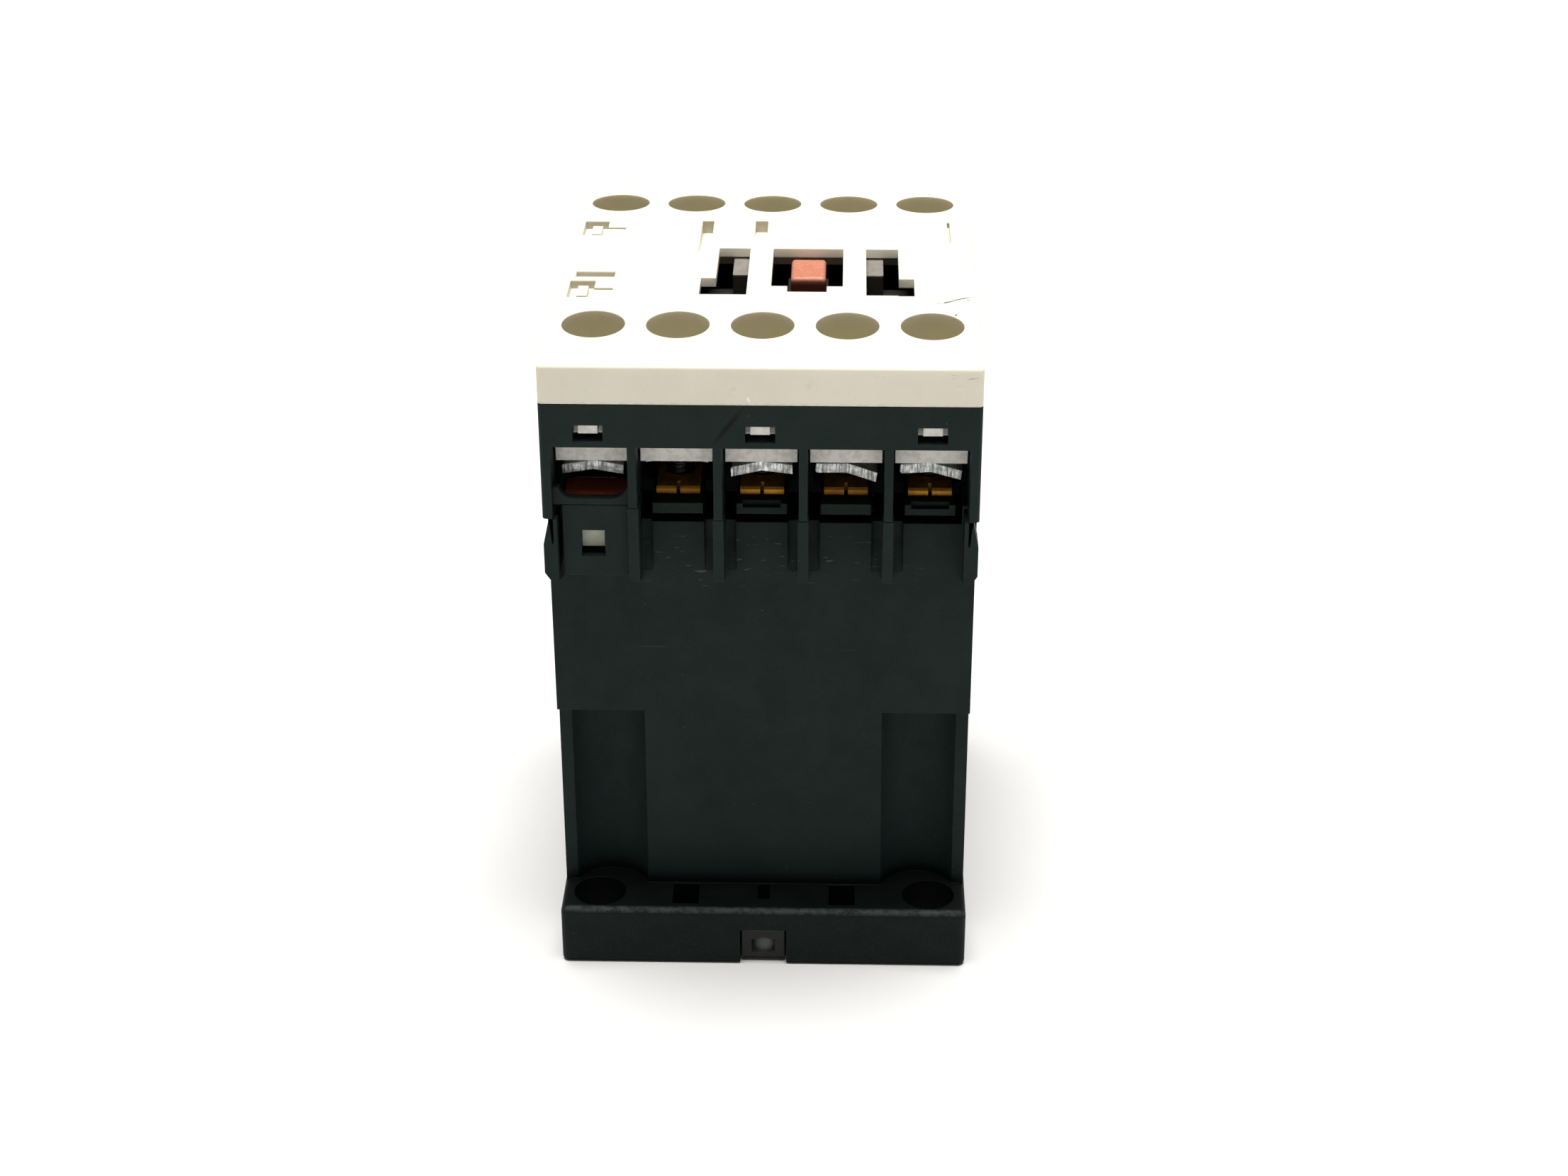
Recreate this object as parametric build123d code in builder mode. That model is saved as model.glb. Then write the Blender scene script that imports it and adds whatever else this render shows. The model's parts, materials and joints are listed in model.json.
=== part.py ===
from build123d import *
from math import cos, radians, sin, tan
import os

# DIN rail contactor, 45 mm wide, three power poles, one auxiliary pole and a coil.
# Frame: it lies on its back as it does on a panel. Z = 0 is the mounting plane and +Z
# points to the front face, X runs across the poles, and Y runs from the lower
# terminals (-Y) to the upper terminals (+Y). All sizes are in millimetres.

# ---- envelope and split lines
WIDTH = 45.0
LENGTH = 57.5
HEIGHT = 73.0
HALF_W = WIDTH / 2
HALF_L = LENGTH / 2
FOOT_H = 7.0
TIER_Z = 30.0            # top of the screw channels
FACE_TOP = 52.9          # top of the base housing's end faces
SPLIT_Z = 55.0           # base housing meets terminal housing
HOUSING_TOP = 67.9       # terminal housing meets front cover
SEAM = 0.1

# ---- terminal columns: the first is the coil's, the others are the poles
PITCH = 8.75
COLUMNS = [(i - 2) * PITCH for i in range(5)]
COIL_X = COLUMNS[0]
POLES = COLUMNS[1:]
ENDS = (-1, 1)
SCREW_Y = 18.76
CAVITY_HALF = 3.93
RIBS = [COIL_X + PITCH * (i + 0.5) for i in range(4)]

# ---- base housing
BODY_HALF_W = 22.42
FACE_FOOT_Y = 23.05
FACE_MID_Y = 24.0
FACE_TOP_Y = 24.5
SIDE_WALL_END_Y = 22.5
BLOCK_HALF_W = 13.3
CHANNEL_R = 4.3
CHANNEL_X = 17.15
CHANNEL_Y = 24.4
RIB_T = 1.1
RIB_FOOT_Z = 48.0
HOLE_X = 18.35
HOLE_Y = 25.0
HOLE_R = 2.9
RAIL_HALF = 17.75
RAIL_Z = 5.0
RAIL_LIP_GRIP = 1.45
LATCH_SLOT_HALF = 4.6
LATCH_ROOF_Z = 4.45
PANEL_TOP = 56.3         # top of the panels in front of the coil's terminals

# ---- contact system
STRIP_Z = (55.4, 56.4)
STRIP_HALF_W = 2.3
STRIP_INNER_Y = 3.6
STRIP_OUTER_Y = 23.4
TIP_H = 0.75
CONTACT_GAP = 3.05
CARRIER_TRAVEL = 4.5
BRIDGE_T = 1.0
BRIDGE_Z = STRIP_Z[1] + TIP_H + CONTACT_GAP + TIP_H
CROSSBAR_Z = (66.0, 68.4)
HUB_X = 4.4
HUB_TOP = 69.6
HUB_HALF_W = 2.2
POST_X = 6.86            # coupling posts on both sides of the hub
FOOT_PLATE_Z = (49.0, 51.5)

# ---- magnet system
CORE_HALF_X = 6.0
CORE_Z = (8.5, 13.5)
POLE_FACE_Z = 37.9
LEG_HALF_Y = 5.0
OUTER_LEG_Y = (15.5, 20.0)
ARMATURE_Z = (42.5, 48.9)
BOBBIN_Z = (13.7, 37.2)
FLANGE_T = 1.2

# ---- clamps: height of each clamp plate's middle above the strip, by column
CLAMP_T = 1.05
CLAMP_CLOSED_Z = STRIP_Z[1] + 0.55
LOWER_CLAMP_LIFT = (1.9, 3.3, 1.9, 1.75, 1.9)
UPPER_CLAMP_LIFT = (1.9, 1.9, 1.9, 1.9, 1.9)
LOWER_CLAMP_TILT = (0, 0, 3, -9, -6)
UPPER_CLAMP_TILT = (0, 0, 0, 0, 0)
SCREW_R = 1.5
SCREW_TIP_Z = 51.3
SCREW_HEAD_R = 2.75
SCREW_HEAD_H = 2.0

# ---- front cover
DECK_FLAT_Y = 12.5
DECK_SLOPE = 3.0
ACCESS_R = 3.29
FUNNEL_HALF_W = 3.72
FUNNEL_Z = 60.15
FUNNEL_Y = (12.5, 25.2)
LATCH_COLUMNS = (COLUMNS[0], COLUMNS[2], COLUMNS[4])

# ---- springs
CONTACT_SPRING_R = 1.55
RETURN_SPRING_R = 2.1
RETURN_SPRING_X = 9.9
LATCH_SPRING_R = 1.05


def block(x, y, z, mode=Mode.ADD):
    """A box between two values on each axis, in the open part."""
    with Locations(((x[0] + x[1]) / 2, (y[0] + y[1]) / 2, (z[0] + z[1]) / 2)):
        Box(abs(x[1] - x[0]), abs(y[1] - y[0]), abs(z[1] - z[0]), mode=mode)


def cut(x, y, z):
    """A box taken out of the open part."""
    block(x, y, z, Mode.SUBTRACT)


def slab(plane, points, amount, both=False, mode=Mode.ADD):
    """A straight-sided outline drawn on a plane and extruded into the open part."""
    with BuildSketch(plane) as outline:
        with BuildLine():
            Polyline(*points, close=True)
        make_face()
    extrude(outline.sketch, amount=amount, both=both, mode=mode)


def around(centre, half):
    """The pair of values a half width either side of a centre."""
    return (centre - half, centre + half)


def toward(end, near, far):
    """A pair of Y values measured outwards from the middle, at one end."""
    return (end * near, end * far)


def finish(part, name):
    """Names a finished piece and writes its file."""
    part.label = name
    export_step(part, "parts/" + name + ".step")


def deck_z(y):
    """Height of the cover's front face at a distance from the middle."""
    return HEIGHT - max(0.0, abs(y) - DECK_FLAT_Y) * tan(radians(DECK_SLOPE))


# ---------------------------------------------------------------- base housing
def add_tiers():
    """Drafted centre block, middle tier and side walls over the foot flange."""
    block(around(0, 22.35), around(0, SIDE_WALL_END_Y), (FOOT_H - 1, TIER_Z))
    centre_block = ((-FACE_FOOT_Y, FOOT_H - 1), (-FACE_MID_Y, TIER_Z),
                    (FACE_MID_Y, TIER_Z), (FACE_FOOT_Y, FOOT_H - 1))
    slab(Plane.YZ, centre_block, BLOCK_HALF_W, both=True)
    middle_tier = ((-FACE_MID_Y, TIER_Z - 0.2), (-FACE_TOP_Y, RIB_FOOT_Z), (-FACE_TOP_Y, FACE_TOP),
                   (FACE_TOP_Y, FACE_TOP), (FACE_TOP_Y, RIB_FOOT_Z), (FACE_MID_Y, TIER_Z - 0.2))
    slab(Plane.YZ, middle_tier, BODY_HALF_W, both=True)
    for side in ENDS:
        block((side * 20.9, side * BODY_HALF_W), around(0, FACE_TOP_Y), (FACE_TOP - 1, SPLIT_Z))


def add_rib(x, end, thickness):
    """A fin between two terminals, with a sloping foot that runs into the face."""
    fin = ((end * 24.2, 46.2), (end * HALF_L, RIB_FOOT_Z), (end * HALF_L, SPLIT_Z),
           (end * 25.3, SPLIT_Z), (end * 25.3, FACE_TOP), (end * 24.2, FACE_TOP))
    slab(Plane.YZ.offset(x), fin, thickness / 2, both=True)


def add_corner_hook(side, end):
    """Snap hook that holds the terminal housing, with the thin plate beside it."""
    add_rib(side * 21.2, end, 0.4)
    hook = ((side * 21.3, 47.9), (side * 21.95, 48.1), (side * 22.47, 48.9), (side * 22.47, 52.2),
            (side * 21.95, 54.6), (side * 21.8, 54.6), (side * 21.6, 52.2), (side * 21.3, 52.2))
    slab(Plane.XZ.offset(-end * 25.4), hook, -end * (HALF_L - 25.4))
    block((side * 21.0, side * 21.95), toward(end, 24.2, 25.5), (47.9, 52.2))


def add_coil_panel(end):
    """Hollow panel in front of the coil terminal, with its square test window."""
    block((-20.5, RIBS[0]), toward(end, 24.0, 27.8), (48.2, PANEL_TOP))
    block(around(RIBS[0], RIB_T / 2), toward(end, 25.3, HALF_L), (SPLIT_Z - 1, PANEL_TOP))
    cut((-19.8, -14.3), toward(end, 21.0, 26.7), (49.9, 57.0))
    cut((-20.9, -13.8), toward(end, 23.3, 25.6), (SPLIT_Z, 57.0))
    cut((-18.62, -16.16), toward(end, 26.0, 28.5), (50.4, 53.4))


def cut_foot(end):
    """Screw holes and the small windows in the foot flange at one end."""
    with Locations((HOLE_X, end * HOLE_Y, FOOT_H), (-HOLE_X, end * HOLE_Y, FOOT_H)):
        Hole(HOLE_R, depth=FOOT_H)
    for side in ENDS:
        cut(around(side * 8.7, 1.45), toward(end, 23.3, 27.3), (2.2, FOOT_H + 0.5))
    cut(around(0, 0.65), toward(end, 23.2, 26.2), (LATCH_ROOF_Z - 0.1, FOOT_H + 0.5))


def cut_latch_way():
    """Slot under the lower foot in which the rail latch slides."""
    lower = -1
    cut(around(0, 2.58), toward(lower, 26.5, HALF_L + 1), (-1, LATCH_ROOF_Z))
    cut(around(0, LATCH_SLOT_HALF), toward(lower, RAIL_HALF - 0.5, 27.0), (-1, LATCH_ROOF_Z))
    cut(around(0, LATCH_SLOT_HALF + 1.0), toward(lower, RAIL_HALF - 0.5, 27.0), (1.4, 3.2))
    block(around(0, 1.3), toward(lower, 24.8, 25.6), (1.0, RAIL_Z))


def make_base_housing():
    with BuildPart() as base_housing:
        with BuildSketch():
            RectangleRounded(WIDTH, LENGTH, 0.8)
        extrude(amount=FOOT_H)
        fillet(base_housing.faces().sort_by(Axis.Z)[-1].edges(), 0.7)
        chamfer(base_housing.faces().sort_by(Axis.Z)[0].edges(), 0.4)
        add_tiers()
        for end in ENDS:
            for x in RIBS:
                add_rib(x, end, RIB_T)
            for side in ENDS:
                add_corner_hook(side, end)
            add_coil_panel(end)
            for x in POLES:
                for side in ENDS:
                    edge = x + side * (PITCH - RIB_T) / 2
                    if abs(edge) < 20:
                        channel = ((end * 23.9, FACE_TOP + 0.5), (end * 25.0, FACE_TOP + 0.5),
                                   (end * 25.0, 47.0), (end * 24.45, 47.3), (end * 23.9, 50.8))
                        middle = Plane.YZ.offset(edge - side * 0.55)
                        slab(middle, channel, 0.55, both=True, mode=Mode.SUBTRACT)
            with Locations((CHANNEL_X, end * CHANNEL_Y, FOOT_H), (-CHANNEL_X, end * CHANNEL_Y, FOOT_H)):
                Cylinder(CHANNEL_R, TIER_Z - 0.2 - FOOT_H, align=(Align.CENTER, Align.CENTER, Align.MIN),
                         mode=Mode.SUBTRACT)
        # room for the magnet, and above it for the coil's terminals
        cut(around(0, 20.9), around(0, 18.8), (7.8, SPLIT_Z + 1))
        cut(around(0, 12.2), around(0, 21.3), (7.8, SPLIT_Z + 1))
        cut(around(0, 20.9), around(0, 22.7), (31.5, SPLIT_Z + 1))
        cut(around(0, HALF_W + 1), around(0, RAIL_HALF), (-1, RAIL_Z))
        for end in ENDS:
            cut_foot(end)
        for x in (-10.5, 10.5):
            block(around(x, 3.5), (RAIL_HALF - RAIL_LIP_GRIP, RAIL_HALF + 0.5), (2.4, 3.7))
        cut_latch_way()
    finish(base_housing.part, "base_housing")


# ------------------------------------------------------------ terminal housing
def make_terminal_housing():
    bottom = SPLIT_Z + SEAM
    with BuildPart() as terminal_housing:
        with BuildSketch(Plane.XY.offset(bottom)):
            RectangleRounded(WIDTH, LENGTH, 0.5)
        extrude(amount=HOUSING_TOP - bottom)
        block(around(0, 20.7), around(0, 25.0), (54.1, STRIP_Z[0]))
        for end in ENDS:
            for x in COLUMNS:
                cut(around(x, CAVITY_HALF), toward(end, 12.5, HALF_L + 1), (STRIP_Z[0], 63.2))
                cut(around(x, CAVITY_HALF), toward(end, 12.2, 25.6), (63.0, HOUSING_TOP + 1))
                cut(around(x, CAVITY_HALF), toward(end, 25.2, HALF_L + 1), (54.0, STRIP_Z[0] + 0.1))
            # lip with an oval mouth in front of the coil's terminal
            block((-21.4, RIBS[0]), toward(end, 26.9, 27.9), (PANEL_TOP + SEAM, 58.3))
            with BuildSketch(Plane.XZ.offset(-end * 28.5)) as mouth:
                with Locations((COIL_X + 0.2, 58.75)):
                    SlotOverall(7.2, 3.4)
            extrude(mouth.sketch, amount=end * 6, mode=Mode.SUBTRACT)
            # the floor's outer edge is narrower than the cavity
            for x in POLES:
                for side in ENDS:
                    notch = (x + side * 2.63, x + side * CAVITY_HALF)
                    cut(notch, toward(end, 19.5, 25.2), (53.9, STRIP_Z[0] + 0.1))
            for x in COLUMNS[2::2]:
                cut(around(x, 1.98), toward(end, 24.4, 25.2), (54.85, STRIP_Z[0] + 0.1))
            cut((-20.6, RIBS[0] + 0.65), toward(end, 23.9, HALF_L + 1), (54.0, PANEL_TOP + SEAM))
        # contact chambers between the two rows of terminals
        for x in COLUMNS:
            cut(around(x, CAVITY_HALF), around(0, 11.3), (STRIP_Z[0], HOUSING_TOP + 1))
            for end in ENDS:
                cut(around(x, 2.75), toward(end, 11.0, 13.0), (STRIP_Z[0], 57.4))
                with Locations((x, end * SCREW_Y, STRIP_Z[0])):
                    Hole(SCREW_R + 0.4, depth=3)
        # the contact carrier runs across the chambers through this slot
        cut((-13.0, 21.4), around(0, 3.2), (53.0, HOUSING_TOP + 1))
        cut((2.2, 6.6), (-4.4, -3.0), (64.6, HOUSING_TOP + 1))
        for end in ENDS:
            cut(around(COIL_X, 2.6), toward(end, 13.5, 23.6), (53.0, STRIP_Z[0] + 0.1))
            for x in LATCH_COLUMNS:
                cut(around(x, 1.85), toward(end, 25.4, 27.4), (63.5, HOUSING_TOP + 1))
                cut(around(x, 1.53), toward(end, 26.8, HALF_L + 1), (63.8, 65.65))
    finish(terminal_housing.part, "terminal_housing")


# ----------------------------------------------------------------- front cover
def cut_front_windows():
    """Three accessory windows and the shallow label and marker recesses."""
    over = HEIGHT + 1
    under = 69.0
    cut((-8.6, 17.6), (-12.0, 4.6), (under, HEIGHT - 1.0))
    cut((-5.4, -2.0), (-10.9, 3.05), (under, over))
    cut((-7.0, -5.3), (-10.9, -6.15), (under, over))
    cut((0.55, 8.2), (-8.35, 3.0), (under, over))
    cut((2.3, 6.5), (-10.0, -8.2), (under, over))
    cut((10.7, 14.2), (-10.95, 2.95), (under, over))
    cut((14.1, 15.8), (-11.1, -6.1), (under, over))
    block((-7.2, -6.3), (-11.3, -9.6), (70.6, 72.2))
    block((15.1, 16.0), (-11.3, -9.6), (70.6, 72.2))
    long_ramp = ((0.2, HEIGHT + 0.1), (11.9, HEIGHT + 0.1), (11.9, HEIGHT - 1.45))
    slab(Plane.YZ.offset(-7.7), long_ramp, 1.3, mode=Mode.SUBTRACT)
    short_ramp = ((6.65, HEIGHT + 0.1), (12.0, HEIGHT + 0.1), (12.0, HEIGHT - 1.35))
    slab(Plane.YZ.offset(-1.7), short_ramp, 1.4, mode=Mode.SUBTRACT)
    cut((19.8, 20.1), (5.4, 11.8), (HEIGHT - 0.6, over))
    cut((-20.5, -16.3), (-6.0, -4.45), (HEIGHT - 0.7, over))
    for y0, y1 in ((7.0, 11.5), (-12.0, -7.15)):
        cut((-20.9, -18.2), (y0, y1), (HEIGHT - 0.9, over))
        cut((-18.3, -16.2), around((y0 + y1) / 2, 0.3), (HEIGHT - 0.5, over))
        block((-20.0, -18.9), (y0 + 1.0, y1 - 0.9), (HEIGHT - 1.0, HEIGHT - 0.25))


def make_front_cover():
    bottom = HOUSING_TOP + SEAM
    edge = deck_z(HALF_L)
    with BuildPart() as front_cover:
        with BuildSketch(Plane.YZ):
            with BuildLine():
                Polyline((-HALF_L, bottom), (-HALF_L, edge), (-DECK_FLAT_Y, HEIGHT), (DECK_FLAT_Y, HEIGHT),
                         (HALF_L, edge), (HALF_L, bottom), close=True)
            make_face()
        extrude(amount=HALF_W, both=True)
        corners = front_cover.edges().filter_by(Axis.Z)
        fillet(corners, 0.5)
        rim = front_cover.edges().filter_by_position(Axis.Z, edge - 0.05, HEIGHT + 0.05)
        fillet(rim.filter_by(lambda e: abs(abs(e.center().X)) > HALF_W - 0.6 or
                             abs(abs(e.center().Y)) > HALF_L - 0.6), 0.35)
        cut(around(0, 21.2), around(0, 27.4), (bottom - 1, 70.6))
        for end in ENDS:
            for x in COLUMNS:
                block(around(x, FUNNEL_HALF_W), toward(end, *FUNNEL_Y), (FUNNEL_Z, 71.0))
                # room in the funnel's foot for the raised clamp
                cut(around(x, FUNNEL_HALF_W - 0.3), toward(end, 13.3, 24.6), (FUNNEL_Z - 1, 63.1))
                with Locations((x, end * SCREW_Y, HEIGHT + 1)):
                    Hole(ACCESS_R, depth=HEIGHT - FUNNEL_Z + 3)
            for x in LATCH_COLUMNS:
                block(around(x, 1.6), toward(end, 26.0, 27.1), (64.4, 71.0))
                block(around(x, 1.0), toward(end, 27.0, 28.35), (64.6, 65.5))
        cut_front_windows()
    finish(front_cover.part, "front_cover")


# -------------------------------------------------------------- contact system
def make_contact_carrier():
    with BuildPart() as contact_carrier:
        block((-12.0, 20.9), around(0, 2.6), CROSSBAR_Z)
        block(around(HUB_X, HUB_HALF_W), (-2.6, 2.9), (CROSSBAR_Z[0], HUB_TOP))
        for side in ENDS:
            with Locations((HUB_X + side * POST_X, 0, CROSSBAR_Z[1])):
                Hole(0.6, depth=1.5)
        cut((2.85, 5.95), (-2.35, 1.85), (HUB_TOP - 1.45, HUB_TOP + 1))
        block((-12.0, 20.9), around(0, 3.0), FOOT_PLATE_Z)
        for x in POLES:
            for side in ENDS:
                block((x + side * 2.55, x + side * 3.3), around(0, 2.0), (FOOT_PLATE_Z[1], CROSSBAR_Z[0]))
            block(around(x, 2.6), around(0, 2.0), (BRIDGE_Z - 1.5, BRIDGE_Z - 0.04))
        # cheeks that hold the armature
        for side in ENDS:
            block((side * 6.15, side * 7.2), around(0, 2.9), (44.2, FOOT_PLATE_Z[0]))
        with Locations(Location((0, 0, 46.4), (0, 90, 0))):
            Cylinder(1.3, 20, mode=Mode.SUBTRACT)
    finish(contact_carrier.part, "contact_carrier")


def make_coupling_posts():
    """Two posts on the crossbar that an accessory's slide hooks on to."""
    with BuildPart() as coupling_posts:
        for side in ENDS:
            x = HUB_X + side * POST_X
            block(around(x, 1.32), (-2.0, 3.9), (CROSSBAR_Z[1] + 0.02, 71.8))
        fillet(coupling_posts.edges().filter_by(Axis.Z), 0.2)
        with Locations([(HUB_X + side * POST_X, 0, CROSSBAR_Z[1] + 0.1) for side in ENDS]):
            Cylinder(0.56, 1.5, align=(Align.CENTER, Align.CENTER, Align.MAX))
    finish(coupling_posts.part, "coupling_posts")


def make_position_indicator():
    with BuildPart() as position_indicator:
        block((2.55, 6.35), (-3.55, 2.35), (HUB_TOP + 0.05, 72.1))
        top = position_indicator.faces().sort_by(Axis.Z)[-1]
        fillet(top.edges(), 0.45)
        fillet(position_indicator.edges().filter_by(Axis.Z), 0.4)
        block((2.9, 5.9), (-2.3, 1.8), (HUB_TOP - 1.4, HUB_TOP + 0.1))
    finish(position_indicator.part, "position_indicator")


def make_moving_contact(number, x):
    """A spring bridge that joins the two strips of its pole, with a tip at each end."""
    with BuildPart() as moving_contact:
        with BuildSketch(Plane.XY.offset(BRIDGE_Z)):
            RectangleRounded(4.4, 15.0, 1.2)
            with Locations((0, 0)):
                Circle(0.6, mode=Mode.SUBTRACT)
        extrude(amount=BRIDGE_T)
        with Locations((0, 5.4, BRIDGE_Z), (0, -5.4, BRIDGE_Z)):
            Box(3.2, 2.8, TIP_H, align=(Align.CENTER, Align.CENTER, Align.MAX))
    finish(moving_contact.part.moved(Location((x, 0, 0))), "moving_contact_%d" % number)


def make_coil_spring(name, start, direction, length, radius, wire, turns):
    """A round-wire compression spring from a start point along a direction."""
    seat = Plane(origin=start, z_dir=direction)
    free = length - wire
    with BuildPart() as spring:
        with BuildLine():
            coil = Helix(pitch=free / turns, height=free, radius=radius)
        with BuildSketch(Plane(origin=coil @ 0, z_dir=coil % 0)):
            Circle(wire / 2)
        sweep(is_frenet=True)
    placed = spring.part.moved(Location(seat) * Location((0, 0, wire / 2)))
    finish(placed, name)


def make_fixed_contact(name, x, end):
    """A flat conductor strip from the wire clamp to the contact chamber."""
    with BuildPart() as fixed_contact:
        block(around(x, STRIP_HALF_W), toward(end, STRIP_INNER_Y, STRIP_OUTER_Y), STRIP_Z)
        outer = fixed_contact.faces().sort_by(Axis.Y)[0 if end < 0 else -1]
        chamfer(outer.edges().filter_by(Axis.X), 0.25)
        slit = toward(end, STRIP_OUTER_Y - 1.4, STRIP_OUTER_Y + 1)
        cut(around(x, 0.18), slit, (STRIP_Z[0] - 1, STRIP_Z[1] + 1))
        with Locations((x, end * SCREW_Y, STRIP_Z[1])):
            Hole(SCREW_R + 0.06, depth=2)
    finish(fixed_contact.part, name)


def make_fixed_contact_tips():
    """Silver alloy tips on the inner ends of the strips."""
    with BuildPart() as fixed_contact_tips:
        for x in POLES:
            for end in ENDS:
                block(around(x, 1.6), toward(end, 4.0, 6.8), (STRIP_Z[1], STRIP_Z[1] + TIP_H))
    finish(fixed_contact_tips.part, "fixed_contact_tips")


# --------------------------------------------------------------- magnet system
def make_fixed_core():
    with BuildPart() as fixed_core:
        block(around(0, CORE_HALF_X), around(0, OUTER_LEG_Y[1]), CORE_Z)
        block(around(0, CORE_HALF_X), around(0, LEG_HALF_Y), (CORE_Z[1], POLE_FACE_Z - 0.1))
        for end in ENDS:
            block(around(0, CORE_HALF_X), toward(end, *OUTER_LEG_Y), (CORE_Z[1], POLE_FACE_Z))
            cut(around(0, CORE_HALF_X + 1), toward(end, 17.3, 18.3), (36.3, POLE_FACE_Z + 1))
        with Locations(Location((0, 0, 11.0), (0, 90, 0))):
            Cylinder(1.25, 20, mode=Mode.SUBTRACT)
    finish(fixed_core.part, "fixed_core")


def make_shading_rings():
    with BuildPart() as shading_rings:
        for end in ENDS:
            block(around(0, 6.9), toward(end, 17.4, 20.9), (36.4, 37.4))
            cut(around(0, CORE_HALF_X + 0.05), toward(end, 18.25, 20.05), (36.0, 38.0))
    finish(shading_rings.part, "shading_rings")


def make_armature():
    with BuildPart() as armature:
        block(around(0, CORE_HALF_X - 0.1), around(0, OUTER_LEG_Y[1]), ARMATURE_Z)
        chamfer(armature.edges().filter_by(Axis.X), 0.5)
        with Locations(Location((0, 0, 46.4), (0, 90, 0))):
            Cylinder(1.3, 20, mode=Mode.SUBTRACT)
    finish(armature.part, "armature")


def make_armature_pin():
    with BuildPart() as armature_pin:
        with Locations(Location((0, 0, 46.4), (0, 90, 0))):
            Cylinder(1.25, 14.4)
        chamfer(armature_pin.edges(), 0.2)
    finish(armature_pin.part, "armature_pin")


def make_core_pin():
    """Cross pin that keeps the core down in the base housing."""
    with BuildPart() as core_pin:
        with Locations(Location((0, 0, 11.0), (0, 90, 0))):
            Cylinder(1.2, 15.0)
        chamfer(core_pin.edges(), 0.2)
    finish(core_pin.part, "core_pin")


def make_damping_pad():
    with BuildPart() as core_damping_pad:
        block(around(0, 7.5), around(0, 20.5), (7.8, CORE_Z[0]))
        for y in (-13, 0, 13):
            cut(around(0, 3.5), around(y, 3.0), (7, 9))
    finish(core_damping_pad.part, "core_damping_pad")


def make_coil_bobbin():
    with BuildPart() as coil_bobbin:
        for z in (BOBBIN_Z[0], BOBBIN_Z[1] - FLANGE_T):
            block(around(0, 14.8), around(0, 15.1), (z, z + FLANGE_T))
        block(around(0, 7.2), around(0, 6.2), BOBBIN_Z)
        cut(around(0, CORE_HALF_X + 0.15), around(0, LEG_HALF_Y + 0.15), (10, 40))
        # arms that carry the coil terminals up to the end faces
        for end in ENDS:
            block((-19.5, -12.0), toward(end, 10.0, 22.4), (BOBBIN_Z[1] - FLANGE_T, BOBBIN_Z[1]))
            block((-19.5, -15.5), toward(end, 20.6, 22.4), (BOBBIN_Z[1] - 0.1, 53.6))
            block((-18.9, -16.3), toward(end, 22.0, 26.4), (50.9, 53.3))
    finish(coil_bobbin.part, "coil_bobbin")


def make_coil_winding():
    with BuildPart() as coil_winding:
        with BuildSketch(Plane.XY.offset(BOBBIN_Z[0] + FLANGE_T + 0.05)):
            RectangleRounded(27.0, 28.0, 4.0)
            Rectangle(14.5, 12.5, mode=Mode.SUBTRACT)
        extrude(amount=BOBBIN_Z[1] - BOBBIN_Z[0] - 2 * FLANGE_T - 0.1)
    finish(coil_winding.part, "coil_winding")


def make_coil_terminal(name, end):
    """Coil terminal strip with a leg down to the bobbin arm."""
    with BuildPart() as coil_terminal:
        block(around(COIL_X, STRIP_HALF_W), toward(end, 14.0, 21.2), STRIP_Z)
        block(around(COIL_X, STRIP_HALF_W), toward(end, 20.45, 21.2), (53.7, STRIP_Z[1]))
        block(around(COIL_X, 1.9), toward(end, 20.6, 22.2), (53.65, 54.2))
        with Locations((COIL_X, end * SCREW_Y, STRIP_Z[1])):
            Hole(SCREW_R + 0.06, depth=2)
    finish(coil_terminal.part, name)


def make_wire_guide(name, end):
    """Stepped tray that leads the wire over the panel and under the coil clamp."""
    with BuildPart() as wire_guide:
        block(around(COIL_X + 0.2, 3.45), toward(end, 25.35, 26.75), (PANEL_TOP + 0.02, PANEL_TOP + 0.45))
        block(around(COIL_X + 0.2, 3.2), toward(end, 25.3, 25.5), (56.05, PANEL_TOP + 0.45))
        block(around(COIL_X + 0.2, 3.2), toward(end, 21.4, 25.5), (56.05, 56.36))
        fillet(wire_guide.edges().filter_by(Axis.Z).group_by(Axis.Y)[0 if end < 0 else -1], 0.6)
    finish(wire_guide.part, name)


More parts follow.
